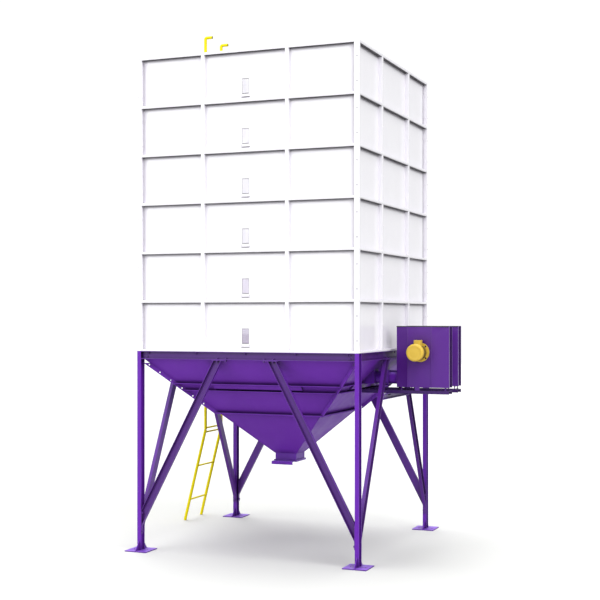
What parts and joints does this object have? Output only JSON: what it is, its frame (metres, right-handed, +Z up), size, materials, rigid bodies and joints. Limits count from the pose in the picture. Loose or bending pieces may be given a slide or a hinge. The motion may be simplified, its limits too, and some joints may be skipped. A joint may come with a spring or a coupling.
{
  "type": "grain storage silo",
  "caption": "square hopper-bottom grain silo on braced legs, with flanged wall tiers, sight windows, two side-mounted ventilation fans and a tube ladder",
  "frame": {"origin": "on the floor, below the middle of the object's bounding box. The bin's own vertical axis is at x = -0.1225 m, y = 0", "axes": "+Z up; the front wall with the sight windows faces -Y, the fans are on the +X side and the ladder on the -X side"},
  "size_m": [4.3184, 3.205, 7.097],
  "materials": {
    "white_paint": "satin powder coat",
    "purple_paint": "satin powder coat",
    "yellow_paint": "semi-gloss paint",
    "golden_paint": "semi-gloss paint on cast aluminium",
    "clear_pane": "clear acrylic pane in a white sheet surround"
  },
  "bodies": {
    "root": {"tier_1": "white_paint", "tier_2": "white_paint", "tier_3": "white_paint", "tier_4": "white_paint", "tier_5": "white_paint", "tier_6": "white_paint", "top_rim": "white_paint", "sight_window_1": "clear_pane", "sight_window_2": "clear_pane", "sight_window_3": "clear_pane", "sight_window_4": "clear_pane", "sight_window_5": "clear_pane", "sight_window_6": "clear_pane", "ring_beam_front": "purple_paint", "ring_beam_right": "purple_paint", "ring_beam_back": "purple_paint", "ring_beam_left": "purple_paint", "leg_front_left": "purple_paint", "leg_front_right": "purple_paint", "leg_back_right": "purple_paint", "leg_back_left": "purple_paint", "brace_front_near_left": "purple_paint", "brace_front_near_right": "purple_paint", "brace_right_near_front": "purple_paint", "brace_right_near_back": "purple_paint", "brace_back_near_right": "purple_paint", "brace_back_near_left": "purple_paint", "brace_left_near_back": "purple_paint", "brace_left_near_front": "purple_paint", "hopper_upper": "purple_paint", "hopper_middle": "purple_paint", "hopper_lower": "purple_paint", "outlet_throat": "purple_paint", "outlet_slide_plate": "purple_paint", "fan_housing_front": "purple_paint", "fan_housing_back": "purple_paint", "fan_duct_front": "purple_paint", "fan_duct_back": "purple_paint", "fan_support_front": "purple_paint", "fan_support_back": "purple_paint", "fan_cross_beam": "purple_paint", "fan_motor_front": "golden_paint", "fan_motor_back": "golden_paint", "ladder_upper": "yellow_paint", "ladder_middle": "yellow_paint", "ladder_lower": "yellow_paint"}
  },
  "joints": []
}
